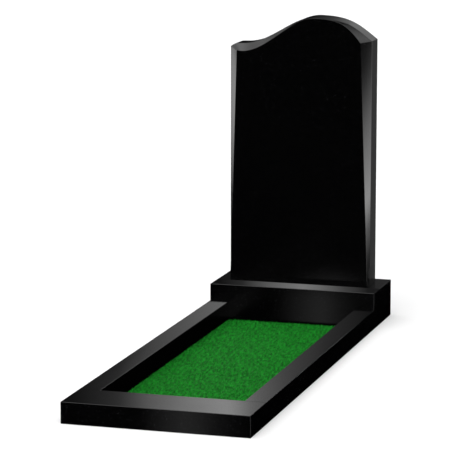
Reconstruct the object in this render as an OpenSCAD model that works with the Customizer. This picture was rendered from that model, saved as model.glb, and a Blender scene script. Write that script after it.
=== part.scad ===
// Single grave memorial in polished black granite: a wave-topped headstone on a plinth,
// and three kerbs that close a bed of short turf in front of it.
// Millimetres, +Z up. The face of the headstone looks along -Y and +X is to a visitor's right.
// The origin is on the ground, at the middle of the whole footprint.

/* [Plinth] */
// Width of the plinth, and of the kerb set in front of it
plinth_w = 700; // [540:10:900]
// Depth of the plinth from front to back
plinth_d = 300; // [240:10:450]
// Height of the plinth
plinth_h = 150; // [90:5:250]

/* [Headstone] */
// Thickness of the headstone
stone_t = 120; // [80:5:150]
// Ledge of the plinth left bare at each side of the headstone
side_ledge = 50; // [10:5:90]
// Ledge of the plinth left bare in front of the headstone
front_ledge = 105; // [20:5:120]

/* [Wave of the top edge] */
// Height of the left shoulder, from the plinth to the corner of the outline
left_shoulder_h = 980; // [500:10:1300]
// Rise from the left shoulder to the hollow
hollow_rise = 14; // [0:1:60]
// Distance of the hollow from the left edge
hollow_in = 50; // [40:1:120]
// Rise from the hollow to the crest
crest_rise = 116; // [40:1:220]
// Distance of the crest from the right edge
crest_in = 242; // [160:1:280]
// Fall from the crest to the right shoulder
crest_fall = 92; // [20:1:200]

/* [Carved bevel] */
// Distance that the bevel runs back from the face
bevel_depth = 25; // [5:1:60]
// Width of the bevel at the foot of each side
bevel_foot_w = 5; // [2:0.5:30]
// Width of the bevel at the left shoulder
bevel_left_w = 33; // [10:1:60]
// Width of the bevel at the right shoulder
bevel_right_w = 43; // [10:1:60]
// Drop of the face's corner below the left shoulder
face_left_drop = 13; // [0:1:40]
// Drop of the face's hollow below the hollow of the outline
face_hollow_drop = 30; // [10:1:60]
// Drop of the face's crest below the crest of the outline
face_crest_drop = 3; // [2:1:40]
// Distance of the face's hollow from the left corner of the face
face_hollow_in = 22; // [16:1:60]
// Drop of the face's corner below the right shoulder
face_right_drop = 7; // [0:1:40]

/* [Kerbs] */
// Length of the bed in front of the plinth, with the front kerb
bed_l = 1800; // [700:10:2400]
// Width of each side kerb
side_kerb_w = 80; // [50:5:150]
// Depth of the front kerb from front to back
front_kerb_d = 200; // [80:5:300]
// Height of the kerbs
kerb_h = 80; // [40:5:200]

/* [Turf] */
// Thickness of the turf, backing and pile together
turf_h = 8; // [5:1:35]
// Gap between the turf and the stones around it
turf_gap = 0.5; // [0:0.1:0.9]

/* [Finish] */
// Leg of the 45 degree arris along each exposed edge
arris = 2; // [0.5:0.5:5]
// Steps along the wave from the hollow to the crest
wave_steps = 28; // [8:1:60]

/* [Hidden] */

granite = [0.05, 0.05, 0.055];
grass = [0.10, 0.47, 0.14];

// Places along Y
set_l = bed_l + plinth_d;
kerb_front_y = -set_l / 2;
bed_front_y = kerb_front_y + front_kerb_d;
plinth_y = kerb_front_y + bed_l;
stone_y = plinth_y + front_ledge;

// Sizes that follow from the driving ones
stone_w = plinth_w - 2 * side_ledge;
bed_w = plinth_w - 2 * side_kerb_w;
side_kerb_l = bed_l - front_kerb_d;

// Steps along the two shorter stretches of the wave
shoulder_steps = 10;
fall_steps = 24;

// Outline of the headstone, [x, z] from the middle of its foot
left_corner = [-stone_w / 2, left_shoulder_h];
hollow = left_corner + [hollow_in, hollow_rise];
crest = [stone_w / 2 - crest_in, hollow[1] + crest_rise];
right_corner = [stone_w / 2, crest[1] - crest_fall];

// Outline of the face, inside the bevel
face_left_corner = left_corner + [bevel_left_w, -face_left_drop];
face_hollow = [face_left_corner[0] + face_hollow_in, hollow[1] - face_hollow_drop];
face_crest = crest - [0, face_crest_drop];
face_right_corner = right_corner - [bevel_right_w, face_right_drop];

// How far each end of the wave's three curves is pulled: left corner, before and after the hollow,
// before and after the crest, right corner
outline_pulls = [[19, 12], [-35, 0], [114, 0], [-94, 0], [131, 0], [-74, 56]];
face_pulls = [[8, -2], [-8, 0], [105, 0], [-97, 0], [104, 0], [-61, 80]];

// A point of the cubic curve a-b-c-d, where b and c pull it out of the straight line
function curve_point(a, b, c, d, t) =
    a * pow(1 - t, 3) + 3 * b * t * pow(1 - t, 2) + 3 * c * t * t * (1 - t) + d * pow(t, 3);

// The curve's points without its last one, so that stretches join with no double points
function stretch(a, b, c, d, steps) =
    [for (i = [0 : steps - 1]) curve_point(a, b, c, d, i / steps)];

// A closed outline, from the foot at the left over the wave and down to the foot at the right.
// The face and the slab have the same number of points, so that the bevel runs straight between them.
function wave_outline(foot_in, left, low, high, right, pulls) = concat(
    [[-stone_w / 2 + foot_in, 0]],
    stretch(left, left + pulls[0], low + pulls[1], low, shoulder_steps),
    stretch(low, low + pulls[2], high + pulls[3], high, wave_steps),
    stretch(high, high + pulls[4], right + pulls[5], right, fall_steps),
    [right, [stone_w / 2 - foot_in, 0]]);

// The unit vector square to the line from p to q, on its right-hand side
function across(p, q) = let (d = (q - p) / norm(q - p)) [d[1], -d[0]];

// A clockwise outline moved inwards by d
function inset(outline, d) =
    let (n = len(outline))
    [for (i = [0 : n - 1])
        let (before = across(outline[(i + n - 1) % n], outline[i]),
             after = across(outline[i], outline[(i + 1) % n]))
        outline[i] + d * (before + after) / (1 + before * after)];

// Flat outlines of equal length, one behind the other at the given depths, skinned into one solid
module skinned(outlines, depths) {
    n = len(outlines[0]);
    last = len(outlines) - 1;
    points = [for (k = [0 : last]) for (p = outlines[k]) [p[0], depths[k], p[1]]];
    walls = [for (k = [0 : last - 1]) for (i = [0 : n - 1])
        let (j = (i + 1) % n, near = k * n, far = near + n)
        each [[near + i, far + i, far + j], [near + i, far + j, near + j]]];
    front = [for (i = [0 : n - 1]) i];
    back = [for (i = [n - 1 : -1 : 0]) last * n + i];
    polyhedron(points, concat([front], walls, [back]));
}

// A square bar that cuts an arris along an edge: its diagonal is twice the arris
module edge_cutter(length) {
    side = arris * sqrt(2);
    rotate([45, 0, 0]) cube([length, side, side], center = true);
}

// A sawn block on the ground, centred in X with its front at y = 0. The top edges have an arris, and
// so do the upright corners at the front or at the back where they stay exposed.
module block(size, ends = true, front_corners = false, back_corners = false) {
    longest = 2 * max(size);
    difference() {
        translate([-size[0] / 2, 0, 0]) cube(size);
        for (side = [-1, 1])
            translate([side * size[0] / 2, 0, size[2]]) rotate(90) edge_cutter(longest);
        if (ends)
            for (y = [0, size[1]])
                translate([0, y, size[2]]) edge_cutter(longest);
        for (side = [-1, 1]) {
            if (front_corners)
                translate([side * size[0] / 2, 0, 0]) rotate([0, 90, 0]) edge_cutter(longest);
            if (back_corners)
                translate([side * size[0] / 2, size[1], 0]) rotate([0, 90, 0]) edge_cutter(longest);
        }
    }
}

module plinth() {
    color(granite)
        translate([0, plinth_y, 0])
            block([plinth_w, plinth_d, plinth_h], front_corners = true, back_corners = true);
}

module headstone() {
    face = wave_outline(bevel_foot_w, face_left_corner, face_hollow, face_crest, face_right_corner, face_pulls);
    outline = wave_outline(0, left_corner, hollow, crest, right_corner, outline_pulls);
    color(granite)
        translate([0, stone_y, plinth_h])
            skinned([face, outline, outline, inset(outline, arris)],
                    [0, bevel_depth, stone_t - arris, stone_t]);
}

// The side kerbs stand between the plinth and the front kerb, flush with their ends
module side_kerb(side) {
    color(granite)
        translate([side * (plinth_w - side_kerb_w) / 2, bed_front_y, 0])
            block([side_kerb_w, side_kerb_l, kerb_h], ends = false);
}

module kerb_left() {
    side_kerb(-1);
}

module kerb_right() {
    side_kerb(1);
}

module kerb_front() {
    color(granite)
        translate([0, kerb_front_y, 0])
            block([plinth_w, front_kerb_d, kerb_h], front_corners = true);
}

module turf() {
    color(grass)
        translate([turf_gap - bed_w / 2, bed_front_y + turf_gap, 0])
            cube([bed_w - 2 * turf_gap, side_kerb_l - 2 * turf_gap, turf_h]);
}

plinth();
headstone();
kerb_left();
kerb_right();
kerb_front();
turf();
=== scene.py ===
import math

import bmesh
import bpy
import numpy as np
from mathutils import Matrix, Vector


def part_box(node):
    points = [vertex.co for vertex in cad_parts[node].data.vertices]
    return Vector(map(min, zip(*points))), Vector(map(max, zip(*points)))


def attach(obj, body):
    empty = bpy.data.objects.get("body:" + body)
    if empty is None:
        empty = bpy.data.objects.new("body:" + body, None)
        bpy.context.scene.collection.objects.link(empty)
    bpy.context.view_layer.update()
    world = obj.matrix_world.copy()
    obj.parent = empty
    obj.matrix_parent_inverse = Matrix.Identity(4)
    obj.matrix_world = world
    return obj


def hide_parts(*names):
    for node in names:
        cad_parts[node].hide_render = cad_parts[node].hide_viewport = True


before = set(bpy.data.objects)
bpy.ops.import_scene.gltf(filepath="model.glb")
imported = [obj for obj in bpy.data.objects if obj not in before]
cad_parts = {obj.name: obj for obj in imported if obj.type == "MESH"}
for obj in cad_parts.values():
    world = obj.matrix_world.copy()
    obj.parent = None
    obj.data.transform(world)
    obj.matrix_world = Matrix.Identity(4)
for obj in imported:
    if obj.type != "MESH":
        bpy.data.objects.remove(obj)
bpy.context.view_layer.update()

# ---------------------------------------------------------------------------
# Camera
# A long lens from the visitor's right, a little above the top of the headstone,
# so that the kerbs recede only slightly. It aims at the front of the plinth.
# ---------------------------------------------------------------------------
view_azimuth = math.radians(16.8)
view_elevation = math.radians(10.4)
view_distance = 11.04
lens_mm = 213.6
plinth_low, plinth_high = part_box("plinth")
aim = Vector((-0.286, plinth_low.y, 0.401))
toward_camera = Vector((
    math.sin(view_azimuth) * math.cos(view_elevation),
    -math.cos(view_azimuth) * math.cos(view_elevation),
    math.sin(view_elevation),
))
bpy.ops.object.camera_add(location=aim + toward_camera * view_distance)
camera = bpy.context.object
camera.name = "camera"
camera.rotation_euler = (-toward_camera).to_track_quat("-Z", "Y").to_euler()
camera.data.lens = lens_mm
camera.data.clip_end = 200
bpy.context.scene.camera = camera

# ---------------------------------------------------------------------------
# Plinth
# One sawn block of black granite, polished on every face, which carries the
# headstone. A narrow arris is ground along each edge that stays exposed.
# ---------------------------------------------------------------------------
arris = 0.002
arris_steps = 4
smooth_below = math.radians(50)
crystal_scale = 520
fleck_from = 0.86
body_colour = (0.0008, 0.0008, 0.0009, 1)
fleck_colour = (0.03, 0.03, 0.033, 1)
cloud_scale = 7
best_polish, worst_polish = 0.15, 0.20


def black_granite():
    """Mirror-polished black granite: a near-black body, fine silver flecks and a slightly uneven polish."""
    stone = bpy.data.materials.new("black_granite")
    stone.use_nodes = True
    nodes, links = stone.node_tree.nodes, stone.node_tree.links
    surface = nodes["Principled BSDF"]
    place = nodes.new("ShaderNodeTexCoord")

    crystals = nodes.new("ShaderNodeTexVoronoi")
    crystals.inputs["Scale"].default_value = crystal_scale
    links.new(place.outputs["Object"], crystals.inputs["Vector"])
    flecks = nodes.new("ShaderNodeValToRGB")
    body, fleck = flecks.color_ramp.elements
    body.position = fleck_from
    body.color = body_colour
    fleck.position = 1.0
    fleck.color = fleck_colour
    links.new(crystals.outputs["Color"], flecks.inputs["Fac"])
    links.new(flecks.outputs["Color"], surface.inputs["Base Color"])

    clouds = nodes.new("ShaderNodeTexNoise")
    clouds.inputs["Scale"].default_value = cloud_scale
    clouds.inputs["Detail"].default_value = 3
    links.new(place.outputs["Object"], clouds.inputs["Vector"])
    polish = nodes.new("ShaderNodeMapRange")
    polish.inputs["To Min"].default_value = best_polish
    polish.inputs["To Max"].default_value = worst_polish
    links.new(clouds.outputs["Fac"], polish.inputs["Value"])
    links.new(polish.outputs["Result"], surface.inputs["Roughness"])
    surface.inputs["IOR"].default_value = 1.5
    return stone


granite = black_granite()


def finish_stone(stone, node):
    """Smooth normals with flat faces kept flat, the granite, and the place in the frame."""
    bpy.ops.object.shade_smooth_by_angle(angle=smooth_below)
    weighted = stone.modifiers.new("flat faces", "WEIGHTED_NORMAL")
    weighted.keep_sharp = True
    bpy.ops.object.modifier_apply(modifier=weighted.name)
    stone.data.materials.append(granite)
    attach(stone, "root")
    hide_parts(node)


def sawn_block(name, node, exposed):
    """A granite block that fills the node's box, with an arris on the edges that exposed() picks."""
    low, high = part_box(node)
    bpy.ops.object.select_all(action="DESELECT")
    bpy.ops.mesh.primitive_cube_add(size=1, location=(low + high) / 2)
    block = bpy.context.object
    block.name = name
    block.scale = high - low
    bpy.ops.object.transform_apply(location=True, rotation=True, scale=True)
    bpy.ops.object.mode_set(mode="EDIT")
    bpy.ops.mesh.select_mode(type="EDGE")
    bpy.ops.mesh.select_all(action="DESELECT")
    mesh = bmesh.from_edit_mesh(block.data)
    for edge in mesh.edges:
        middle = (edge.verts[0].co + edge.verts[1].co) / 2
        along = (edge.verts[1].co - edge.verts[0].co).normalized()
        edge.select = exposed(middle, along, low, high)
    mesh.select_flush(False)
    bmesh.update_edit_mesh(block.data)
    bpy.ops.mesh.bevel(offset=arris, segments=arris_steps, profile=0.5)
    bpy.ops.object.mode_set(mode="OBJECT")
    finish_stone(block, node)


def top_or_upright(middle, along, low, high):
    """The edges round the top and the four upright corners."""
    return middle.z > high.z - arris or abs(along.z) > 0.5


sawn_block("plinth_block", "plinth", top_or_upright)

# ---------------------------------------------------------------------------
# Headstone
# One slab of the same granite, cut to a wave along its top and polished all over. A bevel
# runs round its face, narrow at the foot of each side and wide at the shoulders. The slab
# stands on the plinth by its own weight.
# ---------------------------------------------------------------------------
stone_low, stone_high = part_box("headstone")
half_w = (stone_high.x - stone_low.x) / 2
foot_z = stone_low.z
edge_round = 0.0009
edge_steps = 3
sharp_from = math.radians(18)

# The wave: the height of the left shoulder, then each rise or fall and its distance from a side
left_shoulder_h = 0.980
hollow_in, hollow_rise = 0.050, 0.014
crest_in, crest_rise = 0.242, 0.116
crest_fall = 0.092
left_corner = (-half_w, left_shoulder_h)
hollow = (left_corner[0] + hollow_in, left_corner[1] + hollow_rise)
crest = (half_w - crest_in, hollow[1] + crest_rise)
right_corner = (half_w, crest[1] - crest_fall)

# The bevel: its depth from the face, its widths, and how the face's own wave lies inside the outline
bevel_depth = 0.025
bevel_foot_w = 0.005
bevel_left_w, face_left_drop = 0.033, 0.013
bevel_right_w, face_right_drop = 0.043, 0.007
face_hollow_in, face_hollow_drop = 0.022, 0.030
face_crest_drop = 0.003
face_left = (left_corner[0] + bevel_left_w, left_corner[1] - face_left_drop)
face_hollow = (face_left[0] + face_hollow_in, hollow[1] - face_hollow_drop)
face_crest = (crest[0], crest[1] - face_crest_drop)
face_right = (right_corner[0] - bevel_right_w, right_corner[1] - face_right_drop)

# How far each end of the wave's three curves is pulled: left corner, before and after the hollow,
# before and after the crest, right corner
outline_pulls = (
    (0.019, 0.012), (-0.035, 0), (0.114, 0), (-0.094, 0), (0.131, 0), (-0.074, 0.056))
face_pulls = (
    (0.008, -0.002), (-0.008, 0), (0.105, 0), (-0.097, 0), (0.104, 0), (-0.061, 0.080))
curve_steps = 40
same_depth = 0.00001


def outline_curve(name, foot_in, corners, pulls, y):
    """A closed outline of the headstone at depth y, as an edge loop that starts foot_in from the
    left end of the foot."""
    left, low, high, right = corners
    spots = [
        ((-half_w + foot_in, 0), (0, 0), (0, 0)),
        (left, (0, 0), pulls[0]),
        (low, pulls[1], pulls[2]),
        (high, pulls[3], pulls[4]),
        (right, pulls[5], (0, 0)),
        ((half_w - foot_in, 0), (0, 0), (0, 0)),
    ]
    bpy.ops.object.select_all(action="DESELECT")
    bpy.ops.curve.primitive_bezier_curve_add()
    outline = bpy.context.object
    outline.name = name
    spline = outline.data.splines[0]
    spline.bezier_points.add(len(spots) - 2)
    spline.use_cyclic_u = True
    spline.resolution_u = curve_steps
    for point, (spot, before, after) in zip(spline.bezier_points, spots):
        point.handle_left_type = point.handle_right_type = "FREE"
        point.co = (spot[0], y, foot_z + spot[1])
        point.handle_left = point.co + Vector((before[0], 0, before[1]))
        point.handle_right = point.co + Vector((after[0], 0, after[1]))
    bpy.ops.object.convert(target="MESH")
    return bpy.context.object


stone_outline = outline_curve(
    "headstone_slab", 0, (left_corner, hollow, crest, right_corner), outline_pulls,
    stone_low.y + bevel_depth)
face_outline = outline_curve(
    "headstone_face", bevel_foot_w, (face_left, face_hollow, face_crest, face_right), face_pulls,
    stone_low.y)
bpy.ops.object.select_all(action="DESELECT")
face_outline.select_set(True)
stone_outline.select_set(True)
bpy.context.view_layer.objects.active = stone_outline
bpy.ops.object.join()
headstone = bpy.context.object
bpy.ops.object.mode_set(mode="EDIT")
bpy.ops.mesh.select_mode(type="EDGE")
bpy.ops.mesh.select_all(action="SELECT")
bpy.ops.mesh.bridge_edge_loops(number_cuts=0)


def select_loop_at(y):
    """Selects the edges that lie wholly at depth y."""
    bpy.ops.mesh.select_all(action="DESELECT")
    mesh = bmesh.from_edit_mesh(headstone.data)
    for edge in mesh.edges:
        edge.select = all(abs(vert.co.y - y) < same_depth for vert in edge.verts)
    mesh.select_flush(True)
    bmesh.update_edit_mesh(headstone.data)


select_loop_at(stone_low.y)
bpy.ops.mesh.edge_face_add()
select_loop_at(stone_low.y + bevel_depth)
bpy.ops.mesh.extrude_region_move(
    TRANSFORM_OT_translate={"value": (0, stone_high.y - stone_low.y - bevel_depth, 0)})
select_loop_at(stone_high.y)
bpy.ops.mesh.edge_face_add()
bpy.ops.mesh.select_all(action="SELECT")
bpy.ops.mesh.normals_make_consistent(inside=False)
bpy.ops.mesh.select_all(action="DESELECT")
bpy.ops.mesh.edges_select_sharp(sharpness=sharp_from)
bpy.ops.mesh.bevel(offset=edge_round, segments=edge_steps, profile=0.5)
bpy.ops.object.mode_set(mode="OBJECT")
finish_stone(headstone, "headstone")

# ---------------------------------------------------------------------------
# Kerbs
# Three polished bars of the same granite that frame the bed: two long ones, butted between
# the plinth and a deeper one across the front. They lie flat and are held by their own weight.
# ---------------------------------------------------------------------------


def top_along(middle, along, low, high):
    """The two long edges of the top; the ends are covered by the stones that they butt on."""
    return middle.z > high.z - arris and abs(along.y) > 0.5


def top_or_front_corner(middle, along, low, high):
    """The edges round the top and the two upright corners at the front."""
    return middle.z > high.z - arris or (abs(along.z) > 0.5 and middle.y < low.y + arris)


sawn_block("kerb_left_bar", "kerb_left", top_along)
sawn_block("kerb_right_bar", "kerb_right", top_along)
sawn_block("kerb_front_bar", "kerb_front", top_or_front_corner)

# ---------------------------------------------------------------------------
# Turf
# A mat of short artificial grass, cut to the bed and laid loose inside the kerbs. Its pile of
# flat green tapes stands on a thin latex backing and leans a little in every direction.
# ---------------------------------------------------------------------------
turf_low, turf_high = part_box("turf")
backing_h = 0.0018
backing_round = 0.0004
tape_w = 0.0011
tape_taper = 0.6
tape_nod = 0.22
tape_gap = 0.0028
root_in = 0.0003
bare_edge = 0.0025
most_shift = 0.45
most_lean = 0.35
shortest, longest = 0.72, 0.99
strip_count = 3
patch_scale = (120, 36, 36)
dark_green = (0.004, 0.16, 0.010)
light_green = (0.014, 0.41, 0.028)
chance = np.random.default_rng(7)


def turf_green(name, shade):
    """Matt green polyethylene, dimmed by shade. Its lighter patches are a few tapes wide, and longer
    towards the plinth than across."""
    green = bpy.data.materials.new(name)
    green.use_nodes = True
    nodes, links = green.node_tree.nodes, green.node_tree.links
    surface = nodes["Principled BSDF"]
    place = nodes.new("ShaderNodeTexCoord")
    stretch = nodes.new("ShaderNodeMapping")
    stretch.inputs["Scale"].default_value = patch_scale
    links.new(place.outputs["Object"], stretch.inputs["Vector"])
    patches = nodes.new("ShaderNodeTexNoise")
    patches.inputs["Scale"].default_value = 1
    patches.inputs["Detail"].default_value = 2
    links.new(stretch.outputs["Vector"], patches.inputs["Vector"])
    shades = nodes.new("ShaderNodeValToRGB")
    dark, light = shades.color_ramp.elements
    dark.position = 0.38
    dark.color = (*(channel * shade for channel in dark_green), 1)
    light.position = 0.62
    light.color = (*(channel * shade for channel in light_green), 1)
    links.new(patches.outputs["Fac"], shades.inputs["Fac"])
    links.new(shades.outputs["Color"], surface.inputs["Base Color"])
    surface.inputs["Roughness"].default_value = 0.6
    surface.inputs["Specular IOR Level"].default_value = 0.15
    return green


bpy.ops.object.select_all(action="DESELECT")
backing_size = Vector((turf_high.x - turf_low.x, turf_high.y - turf_low.y, backing_h))
bpy.ops.mesh.primitive_cube_add(size=1, location=turf_low + backing_size / 2)
backing = bpy.context.object
backing.name = "turf_backing"
backing.scale = backing_size
bpy.ops.object.transform_apply(location=True, rotation=True, scale=True)
bpy.ops.object.mode_set(mode="EDIT")
bpy.ops.mesh.bevel(offset=backing_round, segments=2)
bpy.ops.object.mode_set(mode="OBJECT")
backing.data.materials.append(turf_green("green_backing", 0.5))
backing.visible_glossy = False
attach(backing, "root")
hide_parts("turf")

# One tape of the pile, a flat strip that narrows to its tip and nods forward
bpy.ops.object.select_all(action="DESELECT")
bpy.ops.mesh.primitive_grid_add(x_subdivisions=1, y_subdivisions=2, size=1)
tape = bpy.context.object
tape_grid = np.array([vert.co for vert in tape.data.vertices])
tape_faces = np.array([list(face.vertices) for face in tape.data.polygons])
bpy.data.objects.remove(tape)
up_tape = tape_grid[:, 1] + 0.5
tape_shape = np.stack([
    tape_grid[:, 0] * tape_w * (1 - tape_taper * up_tape),
    tape_nod * up_tape ** 2,
    up_tape,
], axis=1)


def pile_strip(name, y_low, y_high, green):
    """The tapes between two depths, each turned, leant and cut to its own height, as one mesh."""
    columns = int((turf_high.x - turf_low.x - 2 * bare_edge) / tape_gap)
    rows = int((y_high - y_low) / tape_gap)
    grid_x, grid_y = np.meshgrid(np.arange(columns) + 0.5, np.arange(rows) + 0.5)
    count = grid_x.size
    shift = chance.uniform(-most_shift, most_shift, (2, count))
    x = turf_low.x + bare_edge + (grid_x.ravel() + shift[0]) * tape_gap
    y = y_low + (grid_y.ravel() + shift[1]) * tape_gap
    turn = chance.uniform(0, 2 * math.pi, count)
    lean = chance.uniform(0.0, most_lean, count)
    height = (turf_high.z - backing_h) * chance.uniform(shortest, longest, count)
    side = tape_shape[None, :, 0] * np.ones((count, 1))
    forward = (tape_shape[None, :, 1] + lean[:, None] * tape_shape[None, :, 2]) * height[:, None]
    verts = np.empty((count, len(tape_shape), 3))
    verts[:, :, 0] = x[:, None] + side * np.cos(turn)[:, None] - forward * np.sin(turn)[:, None]
    verts[:, :, 1] = y[:, None] + side * np.sin(turn)[:, None] + forward * np.cos(turn)[:, None]
    verts[:, :, 2] = backing_h - root_in + tape_shape[None, :, 2] * height[:, None]
    faces = tape_faces[None] + (np.arange(count) * len(tape_shape))[:, None, None]
    mesh = bpy.data.meshes.new(name)
    mesh.from_pydata(verts.reshape(-1, 3).tolist(), [], faces.reshape(-1, 4).tolist())
    strip = bpy.data.objects.new(name, mesh)
    bpy.context.collection.objects.link(strip)
    strip.data.materials.append(green)
    strip.visible_glossy = False
    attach(strip, "root")


pile_green = turf_green("green_pile", 1.0)
strip_l = (turf_high.y - turf_low.y - 2 * bare_edge) / strip_count
for k in range(strip_count):
    start = turf_low.y + bare_edge + k * strip_l
    pile_strip(f"turf_pile_{k + 1}", start, start + strip_l, pile_green)

# ---------------------------------------------------------------------------
# Floor and light
# A pale, matt studio floor, with large soft lights above, at both sides and behind. The polish of
# the stones mirrors neither the floor nor the turf. It mirrors the lights, and the narrow cards of
# light and black flags close to the stones, which show nowhere else.
# ---------------------------------------------------------------------------
scene = bpy.context.scene
scene.view_settings.view_transform = "Standard"
backdrop_light = 0.95
fill_light = 0.15

bpy.ops.object.select_all(action="DESELECT")
bpy.ops.mesh.primitive_plane_add(size=120, location=(0, 0, 0))
floor = bpy.context.object
floor.name = "floor"
pale = bpy.data.materials.new("pale_floor")
pale.use_nodes = True
floor_surface = pale.node_tree.nodes["Principled BSDF"]
floor_surface.inputs["Base Color"].default_value = (0.90, 0.90, 0.90, 1)
floor_surface.inputs["Roughness"].default_value = 1.0
floor_surface.inputs["Specular IOR Level"].default_value = 0.0
floor.data.materials.append(pale)
floor.visible_glossy = False

world = bpy.data.worlds.new("soft_studio")
scene.world = world
world.use_nodes = True
sky_nodes, sky_links = world.node_tree.nodes, world.node_tree.links
background = sky_nodes["Background"]
background.inputs["Color"].default_value = (1, 1, 1, 1)
direction = sky_nodes.new("ShaderNodeTexCoord")


def sky_math(operation, first, second):
    """A Math node in the studio's sky, fed by a link or a number at each input."""
    step = sky_nodes.new("ShaderNodeMath")
    step.operation = operation
    for socket, value in zip(step.inputs, (first, second)):
        if isinstance(value, (int, float)):
            socket.default_value = value
        else:
            sky_links.new(value, socket)
    return step.outputs["Value"]


def glow(toward, strength, tightness, flatness=1):
    """A soft light at infinity: its brightness falls off with the angle from toward, flatness times as
    fast up and down as it does sideways."""
    flat = Vector((1, 1, flatness))
    squashed = sky_nodes.new("ShaderNodeVectorMath")
    squashed.operation = "MULTIPLY"
    squashed.inputs[1].default_value = flat
    sky_links.new(direction.outputs["Generated"], squashed.inputs[0])
    unit = sky_nodes.new("ShaderNodeVectorMath")
    unit.operation = "NORMALIZE"
    sky_links.new(squashed.outputs["Vector"], unit.inputs[0])
    facing = sky_nodes.new("ShaderNodeVectorMath")
    facing.operation = "DOT_PRODUCT"
    facing.inputs[1].default_value = (Vector(toward) * flat).normalized()
    sky_links.new(unit.outputs["Vector"], facing.inputs[0])
    lit = sky_math("MAXIMUM", facing.outputs["Value"], 0)
    return sky_math("MULTIPLY", sky_math("POWER", lit, tightness), strength)


# Above, upper left, three weak ones behind and in front, low behind, and low at both sides
studio = [
    glow((0.05, -0.35, 0.94), 4.2, 6),
    glow((-0.75, 0.05, 0.66), 1.5, 12),
    glow((-0.62, 0.66, 0.42), 0.40, 30),
    glow((0.28, 0.52, 0.80), 0.30, 40),
    glow((0.55, -0.50, 0.67), 0.45, 30),
    glow((0.0, 0.965, 0.25), 0.60, 80),
    glow((0.94, -0.28, -0.17), 3.0, 60),
    glow((0.98, 0.0, -0.16), 0.7, 12, 2),
    glow((-0.98, 0.0, -0.16), 0.6, 12, 2),
]
total = studio[0]
for lobe in studio[1:]:
    total = sky_math("ADD", total, lobe)
rays = sky_nodes.new("ShaderNodeLightPath")
seen = sky_math("MULTIPLY", rays.outputs["Is Camera Ray"], backdrop_light)
fill = sky_math("MULTIPLY", rays.outputs["Is Diffuse Ray"], fill_light)
unseen = sky_math("MULTIPLY", sky_math("SUBTRACT", 1, rays.outputs["Is Camera Ray"]), total)
sky_links.new(sky_math("ADD", sky_math("ADD", seen, fill), unseen), background.inputs["Strength"])


def light_card(name, low, high, facing, along, stops):
    """A flat card between two corners, lit along an axis of the frame as stops say. It shows only in
    polish, and only on the side that it faces."""
    low, high, facing = Vector(low), Vector(high), Vector(facing)
    size = high - low
    spread = (size.y if facing.x else size.x, size.y if facing.z else size.z, 1)
    bpy.ops.object.select_all(action="DESELECT")
    bpy.ops.mesh.primitive_plane_add(
        size=1, location=(low + high) / 2, rotation=facing.to_track_quat("Z", "Y").to_euler())
    card = bpy.context.object
    card.name = name
    card.scale = spread
    bpy.ops.object.transform_apply(location=True, rotation=True, scale=True)
    lit = bpy.data.materials.new(name)
    lit.use_nodes = True
    nodes, links = lit.node_tree.nodes, lit.node_tree.links
    nodes.remove(nodes["Principled BSDF"])
    place = nodes.new("ShaderNodeTexCoord")
    axes = nodes.new("ShaderNodeSeparateXYZ")
    links.new(place.outputs["Object"], axes.inputs["Vector"])
    span = nodes.new("ShaderNodeMapRange")
    start, end = stops[0][0], stops[-1][0]
    span.inputs["From Min"].default_value = start
    span.inputs["From Max"].default_value = end
    links.new(axes.outputs[along], span.inputs["Value"])
    profile = nodes.new("ShaderNodeValToRGB")
    ramp = profile.color_ramp
    while len(ramp.elements) < len(stops):
        ramp.elements.new(0.5)
    for element, (spot, brightness) in zip(ramp.elements, stops):
        element.position = (spot - start) / (end - start)
        element.color = (brightness, brightness, brightness, 1)
    links.new(span.outputs["Result"], profile.inputs["Fac"])
    emission = nodes.new("ShaderNodeEmission")
    links.new(profile.outputs["Color"], emission.inputs["Color"])
    clear = nodes.new("ShaderNodeBsdfTransparent")
    side = nodes.new("ShaderNodeNewGeometry")
    one_sided = nodes.new("ShaderNodeMixShader")
    links.new(side.outputs["Backfacing"], one_sided.inputs["Fac"])
    links.new(emission.outputs["Emission"], one_sided.inputs[1])
    links.new(clear.outputs["BSDF"], one_sided.inputs[2])
    links.new(one_sided.outputs["Shader"], nodes["Material Output"].inputs["Surface"])
    card.data.materials.append(lit)
    card.visible_camera = False
    card.visible_diffuse = False
    card.visible_shadow = False


front, back, right, left, up = (0, -1, 0), (0, 1, 0), (1, 0, 0), (-1, 0, 0), (0, 0, 1)

# Over the front of the plinth, for the tops of the kerbs
bed_end = plinth_low.y - 0.005
kerb_cards_join = 0.40
light_card(
    "card_kerbs_high", (-1.0, bed_end, kerb_cards_join), (0.40, bed_end, 0.80), front, "X",
    [(-1.0, 0), (-0.75, 0.09), (-0.27, 1.0), (-0.16, 0.42), (0.0, 0.18), (0.35, 0.01)])
light_card(
    "card_kerbs_low", (-1.0, bed_end, 0.085), (0.40, bed_end, kerb_cards_join), front, "X",
    [(-1.0, 0), (-0.75, 0.034), (-0.27, 0.42), (-0.10, 0.22), (0.03, 0.14), (0.15, 0.075), (0.35, 0.015)])

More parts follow.
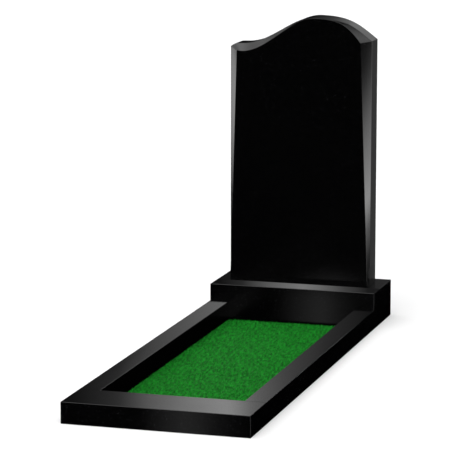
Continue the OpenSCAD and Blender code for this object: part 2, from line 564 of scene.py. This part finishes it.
# At the foot of the headstone, for the ledge of the plinth
ledge_end = stone_low.y - 0.001
light_card(
    "card_ledge", (-0.36, ledge_end, plinth_high.z + 0.0005), (0.36, ledge_end, plinth_high.z + 0.045),
    front, "X",
    [(-0.34, 0.015), (-0.24, 0.065), (-0.12, 0.31), (0.02, 0.54), (0.10, 0.39), (0.20, 0.15), (0.30, 0.03)])

# Below the level of the floor, for the fronts of the plinth and of the front kerb
light_card(
    "card_plinth", (-0.30, 0, -0.25), (0.15, 0, 0.0), back, "X",
    [(-0.27, 0), (-0.10, 0.36), (-0.072, 0.56), (-0.03, 0.28), (0.03, 0.12), (0.14, 0)])
light_card(
    "card_kerb_front", (-0.25, -1.6, -0.25), (0.20, -1.6, -0.02), back, "X",
    [(-0.23, 0), (-0.055, 0.48), (0.06, 0.11), (0.18, 0)])

# Behind the headstone and beside it, for its right side and the bevels at both sides
cards_top = 1.30
bevel_card_x = 0.60
light_card(
    "card_stone_side", (0.34, 1.3, 0.09), (0.75, 1.3, cards_top), front, "X",
    [(0.35, 0.12), (0.70, 0.12)])
bevel_glow = [
    (0.58, 0.08), (0.64, 0.6), (0.69, 1.8), (0.74, 3.0), (0.88, 5.9), (0.95, 1.6), (1.06, 0.22), (1.2, 0)]
for part, y_low, y_high, z_low in (("front", 0.50, 0.88, 0.42), ("back", 0.88, 1.20, 0.10)):
    light_card(
        f"card_bevel_right_{part}", (bevel_card_x, y_low, z_low), (bevel_card_x, y_high, cards_top),
        left, "Y", bevel_glow)
light_card(
    "card_bevel_left", (-bevel_card_x, 0.86, 0.40), (-bevel_card_x, 1.20, cards_top), right, "Y",
    [(0.80, 3.2), (0.90, 3.2), (0.96, 2.3), (1.01, 1.2), (1.08, 0.4), (1.15, 0)])

# Black flags on the backing of the turf, at both ends of the bed
flag_l = 0.05
flag_z = turf_low.z + backing_h + 0.0002
for part, y_low in (("plinth", turf_high.y - flag_l), ("kerb", turf_low.y)):
    light_card(
        f"flag_{part}", (turf_low.x, y_low, flag_z), (turf_high.x, y_low + flag_l, flag_z), up, "X",
        [(turf_low.x, 0), (turf_high.x, 0)])
